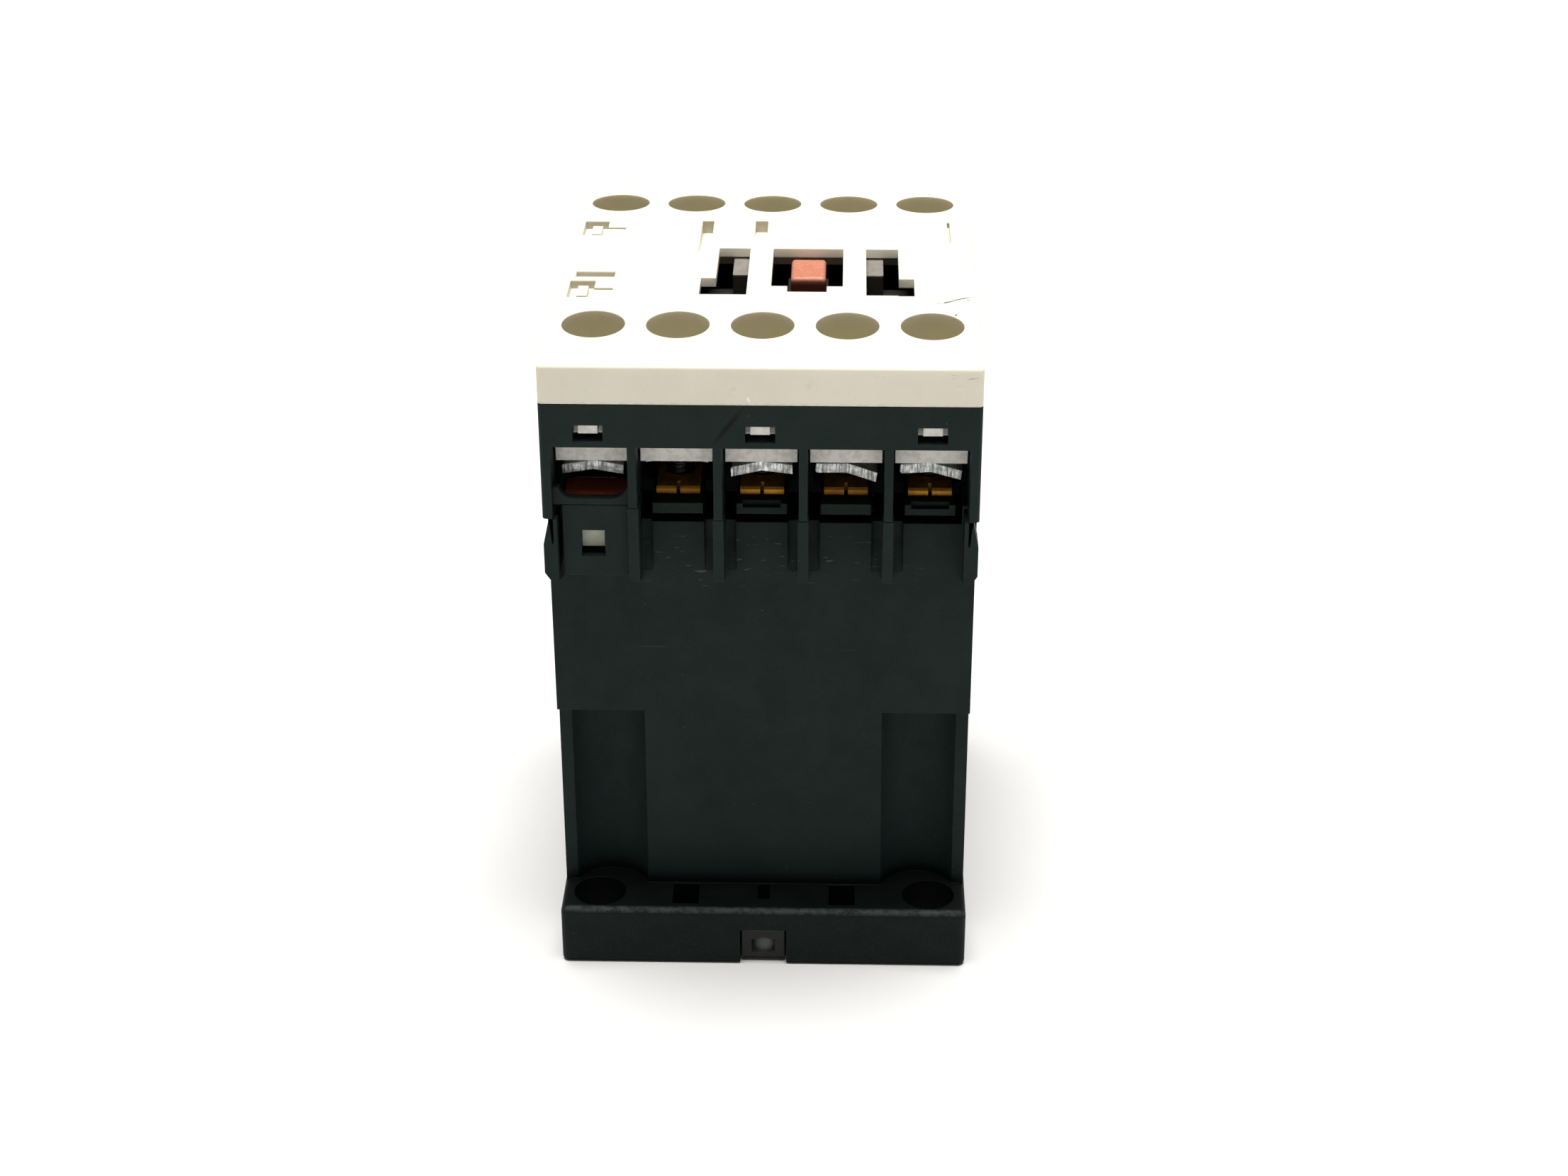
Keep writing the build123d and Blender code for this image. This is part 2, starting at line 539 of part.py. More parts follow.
# --------------------------------------------------------------------- clamps
def make_clamp(number, x, end, lift, tilt):
    """A bent clamp plate with a ridge along the wire, and its captive screw."""
    z = CLAMP_CLOSED_Z + lift
    lean = radians(tilt)
    inner = 14.6
    start = -24.5 if end < 0 else inner
    face = Plane(origin=(x, start + 9.9, z), x_dir=(cos(lean), 0, sin(lean)), z_dir=(0, -1, 0))
    bent = ((-3.2, -0.55), (0, 0), (3.2, -0.55), (3.2, -0.55 + CLAMP_T), (0, CLAMP_T),
            (-3.2, -0.55 + CLAMP_T))
    with BuildPart() as terminal_clamp:
        slab(face, bent, 9.9)
        fillet(terminal_clamp.edges().filter_by(Axis.Y).sort_by(Axis.X)[0:1], 0.3)
        with Locations((x, end * SCREW_Y, z + 3)):
            Hole(SCREW_R + 0.3, depth=6)
    finish(terminal_clamp.part, "terminal_clamp_%02d" % number)
    seat = z + CLAMP_T + 0.03 + 3.0 * abs(sin(lean))
    with BuildPart() as terminal_screw:
        with BuildSketch(Plane.XY.offset(seat)):
            Circle(SCREW_HEAD_R)
        extrude(amount=SCREW_HEAD_H)
        fillet(terminal_screw.edges().sort_by(Axis.Z)[-1], 0.35)
        for angle in (0, 90):
            with Locations(Location((0, 0, seat + SCREW_HEAD_H), (0, 0, angle + 20))):
                Box(3.6, 0.75, 2.4, mode=Mode.SUBTRACT)
        with Locations((0, 0, seat + 0.1)):
            Cylinder(SCREW_R, seat + 0.1 - SCREW_TIP_Z, align=(Align.CENTER, Align.CENTER, Align.MAX))
        chamfer(terminal_screw.edges().sort_by(Axis.Z)[0], 0.4)
    placed = terminal_screw.part.moved(Location((x, end * SCREW_Y, 0)))
    finish(placed, "terminal_screw_%02d" % number)


# ----------------------------------------------------------------- rail latch
def make_rail_latch():
    with BuildPart() as rail_latch:
        block(around(0, LATCH_SLOT_HALF - 0.15), (-24.4, -17.9), (0.6, 4.25))
        block(around(0, LATCH_SLOT_HALF + 0.85), (-22.6, -18.1), (1.6, 3.05))
        block(around(0, 2.4), (-28.2, -24.0), (0.6, 4.25))
        # nose that goes under the rail's edge, with a lead-in below
        nose = ((-18.0, 0.9), (-17.4, 0.9), (-16.3, 2.5), (-16.3, 3.7), (-18.0, 3.7))
        slab(Plane.YZ, nose, LATCH_SLOT_HALF - 0.15, both=True)
        # window for the spring and the housing's peg
        cut(around(0, 1.6), (-25.75, -19.4), (0.3, 5.0))
        # sloping pocket for a screwdriver tip in the outer tab
        pocket = ((-28.6, 1.2), (-28.0, 1.2), (-27.3, 2.9), (-28.6, 2.9))
        slab(Plane.YZ, pocket, 1.3, both=True, mode=Mode.SUBTRACT)
    finish(rail_latch.part, "rail_latch")


def make_all():
    os.makedirs("parts", exist_ok=True)
    make_base_housing()
    make_terminal_housing()
    make_front_cover()
    make_contact_carrier()
    make_coupling_posts()
    make_position_indicator()
    for number, x in enumerate(POLES, start=1):
        make_moving_contact(number, x)
        make_coil_spring("contact_spring_%d" % number, (x, 0, BRIDGE_Z + BRIDGE_T + 0.05), (0, 0, 1),
                         CROSSBAR_Z[0] - BRIDGE_Z - BRIDGE_T - 0.1, CONTACT_SPRING_R, 0.4, 4)
        make_fixed_contact("fixed_contact_lower_%d" % number, x, -1)
        make_fixed_contact("fixed_contact_upper_%d" % number, x, 1)
    make_fixed_contact_tips()
    make_fixed_core()
    make_shading_rings()
    make_armature()
    make_armature_pin()
    make_core_pin()
    make_damping_pad()
    make_coil_bobbin()
    make_coil_winding()
    for name, end in (("lower", -1), ("upper", 1)):
        make_coil_terminal("coil_terminal_" + name, end)
        make_wire_guide("coil_wire_guide_" + name, end)
    for name, side in (("left", -1), ("right", 1)):
        make_coil_spring("return_spring_" + name, (side * RETURN_SPRING_X, 0, BOBBIN_Z[1] + 0.02), (0, 0, 1),
                         FOOT_PLATE_Z[0] - BOBBIN_Z[1] - 0.04, RETURN_SPRING_R, 0.5, 6)
    for i, x in enumerate(COLUMNS):
        make_clamp(i + 1, x, -1, LOWER_CLAMP_LIFT[i], LOWER_CLAMP_TILT[i])
        make_clamp(i + 6, x, 1, UPPER_CLAMP_LIFT[i], UPPER_CLAMP_TILT[i])
    make_rail_latch()
    make_coil_spring("latch_spring", (0, -24.75, 2.45), (0, 1, 0), 5.3, LATCH_SPRING_R, 0.35, 6)


make_all()
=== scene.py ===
import json
import math

import bpy
import bmesh
from mathutils import Euler, Matrix, Vector


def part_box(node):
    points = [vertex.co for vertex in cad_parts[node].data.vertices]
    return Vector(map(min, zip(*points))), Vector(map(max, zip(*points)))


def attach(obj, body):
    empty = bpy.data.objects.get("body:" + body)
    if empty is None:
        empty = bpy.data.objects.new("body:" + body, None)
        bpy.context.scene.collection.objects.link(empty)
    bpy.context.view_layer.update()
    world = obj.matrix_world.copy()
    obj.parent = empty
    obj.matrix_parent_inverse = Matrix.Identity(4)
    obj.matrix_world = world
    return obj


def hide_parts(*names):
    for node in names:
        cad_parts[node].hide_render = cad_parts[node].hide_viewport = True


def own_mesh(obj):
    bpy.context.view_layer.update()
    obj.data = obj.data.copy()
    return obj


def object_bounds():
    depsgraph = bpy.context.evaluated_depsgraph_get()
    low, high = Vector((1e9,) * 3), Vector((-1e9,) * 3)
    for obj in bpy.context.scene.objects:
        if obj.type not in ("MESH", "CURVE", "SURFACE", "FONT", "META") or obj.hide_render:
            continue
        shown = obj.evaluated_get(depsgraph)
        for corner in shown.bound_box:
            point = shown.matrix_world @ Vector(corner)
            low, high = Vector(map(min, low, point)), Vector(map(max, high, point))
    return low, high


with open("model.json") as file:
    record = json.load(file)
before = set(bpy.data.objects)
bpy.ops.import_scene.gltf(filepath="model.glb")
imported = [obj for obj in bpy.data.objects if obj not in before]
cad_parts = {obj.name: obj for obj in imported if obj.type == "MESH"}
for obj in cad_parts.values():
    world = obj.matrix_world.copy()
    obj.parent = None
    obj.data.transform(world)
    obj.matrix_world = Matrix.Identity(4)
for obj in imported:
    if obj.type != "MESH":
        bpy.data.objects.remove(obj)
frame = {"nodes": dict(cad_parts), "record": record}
CAD_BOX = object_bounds()
NODES = frame["nodes"]

MM = 0.001

# ------------------------------------------------------------------ sizes and places, in millimetres
FRONT_Y = CAD_BOX[0][1] / MM    # the end that faces the camera
COVER_TOP = CAD_BOX[1][2] / MM
INDICATOR_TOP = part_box("position_indicator")[1].z / MM
POST_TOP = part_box("coupling_posts")[1].z / MM
COVER_SEAM = 68.0               # lower edge of the front cover
RIB_FOOT_Z = 48.0               # foot of the ribs between the terminals
FOOT_TOP = 7.0                  # upper face of the mounting foot
PITCH = 8.75                    # between terminal columns
SCREW_Y = 18.76                 # rows of screws, on both sides of the middle
SHANK_TOP = 60.0                # the screws are threaded below this
THREAD_PITCH = 0.5

# scuffs on the cover's deck: middle, turn in degrees, radii
SCUFFS = (
    ((20.6, -11.8, COVER_TOP - 0.2), -28, (2.1, 0.19, 1.0)),
    ((19.0, -12.8, COVER_TOP - 0.2), -22, (1.5, 0.22, 1.0)),
    ((21.3, -12.2, COVER_TOP - 0.2), -38, (0.9, 0.18, 1.0)),
    ((20.0, -15.9, COVER_TOP - 0.4), -65, (0.7, 0.16, 1.0)),
)

# springs: wire diameter, free turns and travel
RETURN_SPRING = (0.5, 5, 4.5)
CONTACT_SPRING = (0.4, 2.5, 1.5)
LATCH_SPRING = (0.35, 6, 2.0)
DEAD_TURNS = 0.75               # closed turns at each end
END_RISE = 0.07                 # share of the height that each closed end takes
ALONG_Y = Matrix(((1, 0, 0, 0), (0, 0, 1, 0), (0, -1, 0, 0), (0, 0, 0, 1)))


# ------------------------------------------------------------------ node materials
class Graph:
    """One procedural material. Every length in its textures is in millimetres."""

    def __init__(self, name, roughness=0.5, metallic=0.0, specular=0.5, coat=0.0):
        self.material = bpy.data.materials.new(name)
        self.material.use_nodes = True
        self.tree = self.material.node_tree
        self.tree.nodes.clear()
        output = self.add("ShaderNodeOutputMaterial")
        self.shader = self.add("ShaderNodeBsdfPrincipled")
        self.tree.links.new(self.shader.outputs[0], output.inputs["Surface"])
        self.shader.inputs["Roughness"].default_value = roughness
        self.shader.inputs["Metallic"].default_value = metallic
        self.shader.inputs["Specular IOR Level"].default_value = specular
        self.shader.inputs["Coat Weight"].default_value = coat
        place = self.add("ShaderNodeTexCoord").outputs["Object"]
        self.place = self.vector("SCALE", place, scale=1.0 / MM)

    def add(self, kind, **settings):
        node = self.tree.nodes.new(kind)
        for key, value in settings.items():
            setattr(node, key, value)
        return node

    def put(self, socket, value):
        if isinstance(value, bpy.types.NodeSocket):
            self.tree.links.new(value, socket)
        elif isinstance(value, (tuple, list)) and len(value) == 3 and socket.type == "RGBA":
            socket.default_value = (*value, 1.0)
        else:
            socket.default_value = value

    def vector(self, operation, a, b=None, scale=None):
        node = self.add("ShaderNodeVectorMath", operation=operation)
        self.put(node.inputs[0], a)
        if b is not None:
            self.put(node.inputs[1], b)
        if scale is not None:
            self.put(node.inputs["Scale"], scale)
        return node.outputs["Value" if operation in ("LENGTH", "DOT_PRODUCT") else "Vector"]

    def math(self, operation, a, b=0.0, clamp=False):
        node = self.add("ShaderNodeMath", operation=operation, use_clamp=clamp)
        self.put(node.inputs[0], a)
        self.put(node.inputs[1], b)
        return node.outputs[0]

    def axis(self, name):
        node = self.add("ShaderNodeSeparateXYZ")
        self.put(node.inputs[0], self.place)
        return node.outputs[name]

    def band(self, value, low, high, out_low=0.0, out_high=1.0):
        node = self.add("ShaderNodeMapRange", interpolation_type="SMOOTHSTEP")
        for socket, v in zip(node.inputs, (value, low, high, out_low, out_high)):
            self.put(socket, v)
        return node.outputs[0]

    def turned(self, stretch=(1, 1, 1), turn=(0, 0, 0)):
        node = self.add("ShaderNodeMapping")
        self.put(node.inputs["Vector"], self.place)
        node.inputs["Rotation"].default_value = [math.radians(a) for a in turn]
        node.inputs["Scale"].default_value = stretch
        return node.outputs[0]

    def noise(self, scale, detail=3.0, roughness=0.6, vector=None):
        node = self.add("ShaderNodeTexNoise")
        self.put(node.inputs["Vector"], vector if vector is not None else self.place)
        node.inputs["Scale"].default_value = scale
        node.inputs["Detail"].default_value = detail
        node.inputs["Roughness"].default_value = roughness
        return node.outputs["Fac"]

    def specks(self, scale, radius, share):
        """Separate small dots: 1 inside a dot, on this share of the texture's cells."""
        node = self.add("ShaderNodeTexVoronoi")
        self.put(node.inputs["Vector"], self.place)
        node.inputs["Scale"].default_value = scale
        dot = self.band(node.outputs["Distance"], radius, radius * 0.6)
        chosen = self.add("ShaderNodeSeparateColor")
        self.put(chosen.inputs[0], node.outputs["Color"])
        return self.math("MULTIPLY", dot, self.math("LESS_THAN", chosen.outputs[0], share))

    def hairlines(self, turn, low, high, length=0.05, fine=2.2):
        """Thin broken scratches along one direction."""
        streak = self.noise(1.0, 2.0, 0.5, self.turned((length, fine, fine), turn))
        return self.band(streak, low, high)

    def spot(self, centre, radii, edge=0.6):
        """1 at the middle of an ellipsoid, fading to 0 at its surface."""
        away = self.vector("SUBTRACT", self.place, centre)
        away = self.vector("DIVIDE", away, radii)
        return self.band(self.vector("LENGTH", away), 1.0, 1.0 - edge)

    def stroke(self, centre, turn, radii, edge=0.5):
        """The same, for an ellipsoid turned about the three axes."""
        turned = self.turned((1, 1, 1), turn)
        middle = Euler([math.radians(a) for a in turn]).to_matrix() @ Vector(centre)
        away = self.vector("DIVIDE", self.vector("SUBTRACT", turned, tuple(middle)), radii)
        return self.band(self.vector("LENGTH", away), 1.0, 1.0 - edge)

    def mix(self, amount, a, b):
        node = self.add("ShaderNodeMix", data_type="RGBA")
        self.put(node.inputs["Factor"], amount)
        colours = [s for s in node.inputs if s.type == "RGBA"]
        self.put(colours[0], a)
        self.put(colours[1], b)
        return [s for s in node.outputs if s.type == "RGBA"][0]

    def product(self, first, *others):
        """Several masks multiplied."""
        for other in others:
            first = self.math("MULTIPLY", first, other)
        return first

    def tint(self, colour, towards, mask, share=1.0):
        """Moves a colour towards another by this share, where the mask is 1."""
        return self.mix(self.product(mask, share), colour, towards)

    def edges(self, radius):
        """1 on sharp edges of this radius, 0 on flat faces, and the rounded normal."""
        rounded = self.add("ShaderNodeBevel", samples=4)
        rounded.inputs["Radius"].default_value = radius * MM
        flat = self.add("ShaderNodeNewGeometry").outputs["Normal"]
        turn = self.vector("DOT_PRODUCT", rounded.outputs[0], flat)
        return self.band(turn, 0.995, 0.8), rounded.outputs[0]

    def facing(self):
        """The face's own direction, without its sign."""
        return self.vector("ABSOLUTE", self.add("ShaderNodeNewGeometry").outputs["True Normal"])

    def bump(self, height, distance, normal=None, strength=1.0):
        node = self.add("ShaderNodeBump")
        self.put(node.inputs["Height"], height)
        node.inputs["Distance"].default_value = distance * MM
        node.inputs["Strength"].default_value = strength
        if normal is not None:
            self.put(node.inputs["Normal"], normal)
        return node.outputs[0]

    def finish(self, colour=None, roughness=None, normal=None):
        for name, value in (("Base Color", colour), ("Roughness", roughness), ("Normal", normal)):
            if value is not None:
                self.put(self.shader.inputs[name], value)
        return self.material


def housing_marks(g, colour):
    """Scratches, dust, fluff below the terminals and the smear on the dark band."""
    scratches = g.math("ADD", g.hairlines((0, 63, 20), 0.735, 0.76), g.hairlines((0, -31, 75), 0.74, 0.765))
    scratches = g.product(scratches, g.band(g.noise(0.10, 2.0), 0.5, 0.62))
    colour = g.tint(colour, (0.06, 0.07, 0.066), scratches, 0.25)
    colour = g.tint(colour, (0.10, 0.105, 0.10), g.specks(0.8, 0.055, 0.12), 0.7)
    colour = g.tint(colour, (0.07, 0.075, 0.07), g.specks(1.9, 0.07, 0.04), 0.6)
    fluff = g.hairlines((0, 71, 0), 0.66, 0.71, 0.55, 3.2)
    fluff = g.product(fluff, g.spot((0, FRONT_Y + 3.35, RIB_FOOT_Z + 0.2), (24.0, 3.4, 4.6)))
    colour = g.tint(colour, (0.13, 0.135, 0.13), fluff, 0.35)
    smear = g.stroke((-3.2, FRONT_Y, COVER_SEAM - 2.3), (0, 52.6, 0), (3.3, 1.2, 0.42), 0.8)
    return g.tint(colour, (0.0018, 0.0026, 0.0024), smear, 0.75)


def housing_foot(g, colour, height):
    """Painted shade darkens the foot's upper face, and a painted highlight runs along its rim."""
    foot = g.band(height, FOOT_TOP + 1.6, FOOT_TOP - 0.1)
    rim = g.band(g.math("ABSOLUTE", g.axis("Y")), -FRONT_Y - 0.95, -FRONT_Y - 0.55)
    # Painted shade on the foot's upper face, inside its rim.
    foot_top_shade = g.product(foot, g.math("SUBTRACT", 1.0, rim))
    colour = g.tint(colour, (0.0008, 0.0010, 0.0010), foot_top_shade, 0.86)
    # Painted highlight along the foot's rim, broken up by noise.
    rim_highlight = g.product(g.band(height, FOOT_TOP - 0.55, FOOT_TOP - 0.25), foot, rim)
    rim_highlight = g.product(rim_highlight, g.band(g.noise(1.1, 4.0, 0.7), 0.30, 0.62))
    return g.tint(colour, (0.036, 0.042, 0.038), rim_highlight, 0.85)


def housing_plastic():
    """Anthracite glass-filled plastic: fine grain, dust, handling marks, and painted shade and highlight at
    the foot.
    """
    g = Graph("housing_plastic", specular=0.11)
    edge, rounded = g.edges(0.16)
    height = g.axis("Z")
    cloud = g.band(g.noise(0.12, 4.0), 0.3, 0.7)
    colour = g.mix(cloud, (0.0060, 0.0134, 0.0120), (0.0080, 0.0164, 0.0146))
    upper = g.band(height, RIB_FOOT_Z - 2.0, RIB_FOOT_Z + 2.0, 0.0, 0.30)
    colour = g.mix(upper, colour, (0.0125, 0.0235, 0.0205))
    # Painted shade: the colour darkens towards the foot.
    lower = g.band(height, FOOT_TOP + 2.0, FOOT_TOP - 0.5, 0.0, 0.70)
    colour = g.mix(lower, colour, (0.0020, 0.0046, 0.0042))
    grain = g.band(g.noise(4.5, 3.0, 0.7), 0.45, 0.8, 0.0, 0.35)
    colour = g.mix(grain, colour, (0.017, 0.026, 0.024))
    worn = g.product(edge, g.band(g.noise(0.9, 4.0), 0.42, 0.66))
    colour = g.tint(colour, (0.050, 0.060, 0.056), worn, 0.55)
    colour = housing_marks(g, colour)
    colour = housing_foot(g, colour, height)
    rough = g.band(g.noise(0.35, 5.0), 0.25, 0.75, 0.50, 0.66)
    rough = g.math("SUBTRACT", rough, g.product(edge, 0.10))
    fine = g.bump(g.noise(9.0, 2.0, 0.6), 0.012, rounded)
    return g.finish(colour, rough, g.bump(g.noise(0.25, 2.0), 0.012, fine))


def cover_walls(g, colour, height):
    """Painted shade darkens the walls of the ways below their rims and the walls of the shallow recesses;
    painted light brightens the walls of each accessory window.
    """
    column = g.math("PINGPONG", g.math("ADD", g.axis("X"), 4 * PITCH), PITCH / 2)
    distance = g.math("ABSOLUTE", g.axis("Y"))
    across = g.math("SUBTRACT", distance, SCREW_Y)
    squares = g.math("ADD", g.product(column, column), g.product(across, across))
    # Painted shade: the walls of the ways darken and yellow below their rims, unevenly.
    way_shade = g.band(g.math("SQRT", squares), 3.50, 3.40)
    way_shade = g.product(way_shade, g.band(height, COVER_TOP - 0.05, COVER_TOP - 1.6))
    way_shade_share = g.band(g.noise(0.8, 4.0), 0.25, 0.6, 0.80, 1.0)
    colour = g.tint(colour, (0.73, 0.665, 0.43), way_shade, way_shade_share)
    wall = g.band(g.vector("DOT_PRODUCT", g.facing(), (0, 1, 0)), 0.5, 0.8)
    wall = g.product(wall, g.band(height, COVER_TOP - 0.03, COVER_TOP - 0.20), g.band(distance, 12.4, 12.2))
    shallow = g.math("MAXIMUM", g.band(g.axis("Y"), 4.0, 5.0), g.band(g.axis("X"), -14.0, -15.0))
    # Painted shade on the walls of the shallow recesses.
    colour = g.tint(colour, (0.38, 0.345, 0.265), g.product(wall, shallow), 0.70)
    # Painted light: the walls of each accessory window are brightened to near white.
    window_wall_light = g.product(wall, g.math("SUBTRACT", 1.0, shallow))
    return g.mix(window_wall_light, colour, (0.97, 0.94, 0.82))


def cover_marks(g, colour, height):
    """Grime, dots, the scuffs by the right front corner, the nicked edge and the chip at the seam."""
    grime = g.band(g.noise(0.55, 6.0, 0.7), 0.58, 0.74, 0.0, 0.22)
    colour = g.mix(grime, colour, (0.50, 0.45, 0.35))
    colour = g.mix(g.specks(0.8, 0.05, 0.10), colour, (0.16, 0.13, 0.10))
    colour = g.mix(g.specks(2.4, 0.06, 0.03), colour, (0.25, 0.21, 0.16))
    broken = g.band(g.noise(2.2, 4.0), 0.36, 0.46)
    for middle, angle, radii in SCUFFS:
        scuff = g.stroke(middle, (0, 0, angle), radii, 0.7)
        colour = g.tint(colour, (0.05, 0.045, 0.035), scuff, broken)
    nicks = g.spot((20.5, FRONT_Y, COVER_TOP - 1.8), (1.7, 0.8, 1.2))
    nicks = g.product(nicks, g.hairlines((0, 55, 0), 0.60, 0.64, 0.5, 3.0))
    colour = g.tint(colour, (0.33, 0.30, 0.24), nicks, 0.7)
    chip = g.stroke((-1.15, FRONT_Y, COVER_SEAM + 0.6), (0, 20, 0), (0.16, 0.5, 0.40), 0.5)
    colour = g.tint(colour, (0.96, 0.95, 0.92), chip, 0.8)
    grime_line = g.band(height, COVER_SEAM + 0.35, COVER_SEAM)
    grime_line = g.product(grime_line, g.band(g.noise(1.4, 4.0), 0.4, 0.65))
    return g.tint(colour, (0.42, 0.37, 0.28), grime_line, 0.35)


def cover_plastic():
    """Light warm grey plastic, finely spark-eroded and a little translucent."""
    g = Graph("cover_plastic", specular=0.38)
    g.shader.inputs["Subsurface Weight"].default_value = 0.25
    g.shader.inputs["Subsurface Radius"].default_value = (1.0, 0.8, 0.55)
    g.shader.inputs["Subsurface Scale"].default_value = MM
    edge, rounded = g.edges(0.14)
    height = g.axis("Z")
    cloud = g.band(g.noise(0.09, 4.0), 0.3, 0.7)
    colour = g.mix(cloud, (0.735, 0.685, 0.560), (0.785, 0.735, 0.615))
    grain = g.band(g.noise(6.0, 2.0), 0.5, 0.8, 0.0, 0.25)
    colour = g.mix(grain, colour, (0.66, 0.62, 0.52))
    below_seam = g.band(height, COVER_SEAM - 0.4, COVER_SEAM - 1.8)
    colour = g.mix(below_seam, colour, (0.83, 0.815, 0.76))
    colour = cover_walls(g, colour, height)
    colour = cover_marks(g, colour, height)
    colour = g.tint(colour, (0.90, 0.88, 0.80), edge, 0.35)
    rough = g.band(g.noise(0.5, 4.0), 0.25, 0.75, 0.42, 0.56)
    return g.finish(colour, rough, g.bump(g.noise(7.0, 2.0, 0.6), 0.010, rounded))


def indicator_plastic():
    """Orange-red plastic with a slightly granular top, and painted shade darkening its sides."""
    g = Graph("indicator_plastic", specular=0.4)
    edge, rounded = g.edges(0.18)
    colour = g.mix(g.band(g.noise(2.2, 5.0, 0.7), 0.35, 0.7), (0.45, 0.155, 0.092), (0.54, 0.215, 0.135))
    colour = g.tint(colour, (0.72, 0.26, 0.16), edge, 0.3)
    # Painted shade: the sides below the top are darkened.
    side = g.band(g.axis("Z"), INDICATOR_TOP - 0.15, INDICATOR_TOP - 0.90)
    colour = g.tint(colour, (0.060, 0.010, 0.005), side, 0.93)
    rough = g.band(g.noise(1.5, 3.0), 0.3, 0.7, 0.36, 0.50)
    return g.finish(colour, rough, g.bump(g.noise(5.0, 3.0), 0.02, rounded))


def post_plastic():
    """Grey plastic, with painted shade darkening the sides."""
    g = Graph("post_plastic", specular=0.2)
    _, rounded = g.edges(0.12)
    colour = g.mix(g.band(g.noise(0.9, 4.0), 0.3, 0.7), (0.195, 0.175, 0.150), (0.240, 0.218, 0.188))
    # Painted shade: the sides below the top are darkened.
    side = g.band(g.axis("Z"), POST_TOP - 0.02, POST_TOP - 0.20)
    colour = g.tint(colour, (0.014, 0.014, 0.012), side, 0.9)
    rough = g.band(g.noise(1.3, 4.0), 0.3, 0.7, 0.42, 0.55)
    return g.finish(colour, rough, g.bump(g.noise(6.0), 0.01, rounded))


def zinc_steel(name="zinc_steel", threaded=False):
    """Bright zinc plating with a faint blue passivation, drawn striations and, on a screw, its thread,
    darkened as painted shade.
    """
    g = Graph(name, metallic=1.0)
    edge, rounded = g.edges(0.10)
    tint = g.band(g.noise(0.5, 3.0), 0.35, 0.68)
    colour = g.mix(tint, (0.52, 0.53, 0.50), (0.42, 0.47, 0.51))
    colour = g.mix(g.band(g.noise(1.4, 5.0, 0.7), 0.55, 0.75, 0.0, 0.5), colour, (0.24, 0.24, 0.21))
    colour = g.tint(colour, (0.80, 0.82, 0.82), edge, 0.5)
    rough = g.band(g.noise(2.0, 4.0), 0.25, 0.75, 0.20, 0.38)
    stripes = g.noise(1.0, 3.0, 0.7, g.turned((5.5, 0.6, 0.5)))
    normal = g.bump(stripes, 0.05, rounded)
    if threaded:
        wave = g.math("SINE", g.math("MULTIPLY", g.axis("Z"), 2 * math.pi / THREAD_PITCH))
        shank = g.band(g.axis("Z"), SHANK_TOP + 0.1, SHANK_TOP - 0.1)
        normal = g.bump(g.product(wave, shank), 0.16, rounded)
        # Painted shade: the threaded part of a screw is darkened.
        colour = g.tint(colour, (0.10, 0.10, 0.095), shank, 0.75)
    return g.finish(colour, rough, normal)


def sheared_steel():
    """Zinc plated clamp steel. Its cut end faces show striations, with painted highlights and painted
    shade.
    """
    g = Graph("sheared_steel", metallic=1.0)
    edge, rounded = g.edges(0.08)
    fine = g.noise(1.0, 4.0, 0.75, g.turned((4.6, 0.5, 0.42)))
    broad = g.noise(0.9, 3.0, 0.6, g.turned((1.0, 0.4, 1.6)))
    cut_face = g.band(g.vector("DOT_PRODUCT", g.facing(), (0, 1, 0)), 0.75, 0.95)
    colour = g.mix(g.band(broad, 0.35, 0.65), (0.16, 0.17, 0.17), (0.34, 0.36, 0.36))
    # The cut faces' striations: bright and dark streaks as painted highlights and shade, dimmed by broad
    # patches of painted shade.
    striations_and_highlights = g.mix(g.band(fine, 0.36, 0.64), (0.13, 0.135, 0.13), (0.93, 0.95, 0.93))
    striations_and_highlights = g.mix(g.band(broad, 0.38, 0.62, 0.0, 0.75), striations_and_highlights, (0.20, 0.21, 0.20))
    colour = g.mix(cut_face, colour, striations_and_highlights)
    colour = g.tint(colour, (0.78, 0.80, 0.80), edge, 0.25)
    rough = g.band(g.noise(2.0, 4.0), 0.25, 0.75, 0.24, 0.42)
    return g.finish(colour, rough, g.bump(fine, 0.10, rounded))


def strip_metal():
    """Golden contact strip alloy with dark heat tints and drawn lines."""
    g = Graph("copper_strip", metallic=0.6)
    edge, rounded = g.edges(0.12)
    colour = g.mix(g.band(g.noise(0.6, 4.0), 0.3, 0.7), (0.40, 0.165, 0.010), (0.56, 0.255, 0.022))
    colour = g.mix(g.band(g.noise(1.8, 5.0, 0.7), 0.55, 0.78, 0.0, 0.7), colour, (0.12, 0.045, 0.004))
    colour = g.tint(colour, (0.62, 0.34, 0.05), edge, 0.35)
    rough = g.band(g.noise(1.5, 4.0), 0.25, 0.75, 0.28, 0.46)
    stripes = g.noise(1.0, 3.0, 0.7, g.turned((6.0, 0.4, 6.0)))
    return g.finish(colour, rough, g.bump(stripes, 0.02, rounded))


def plain_metal(name, dark, light, low, high, grain=(1.0, 1.0, 1.0), depth=0.02):
    """A metal with two mixed tones and directional grain."""
    g = Graph(name, metallic=1.0)
    edge, rounded = g.edges(0.08)
    colour = g.mix(g.band(g.noise(0.9, 5.0), 0.3, 0.7), dark, light)
    colour = g.tint(colour, tuple(min(1.0, c * 1.35) for c in light), edge, 0.4)
    rough = g.band(g.noise(1.7, 4.0), 0.25, 0.75, low, high)
    return g.finish(colour, rough, g.bump(g.noise(1.0, 3.0, 0.7, g.turned(grain)), depth, rounded))


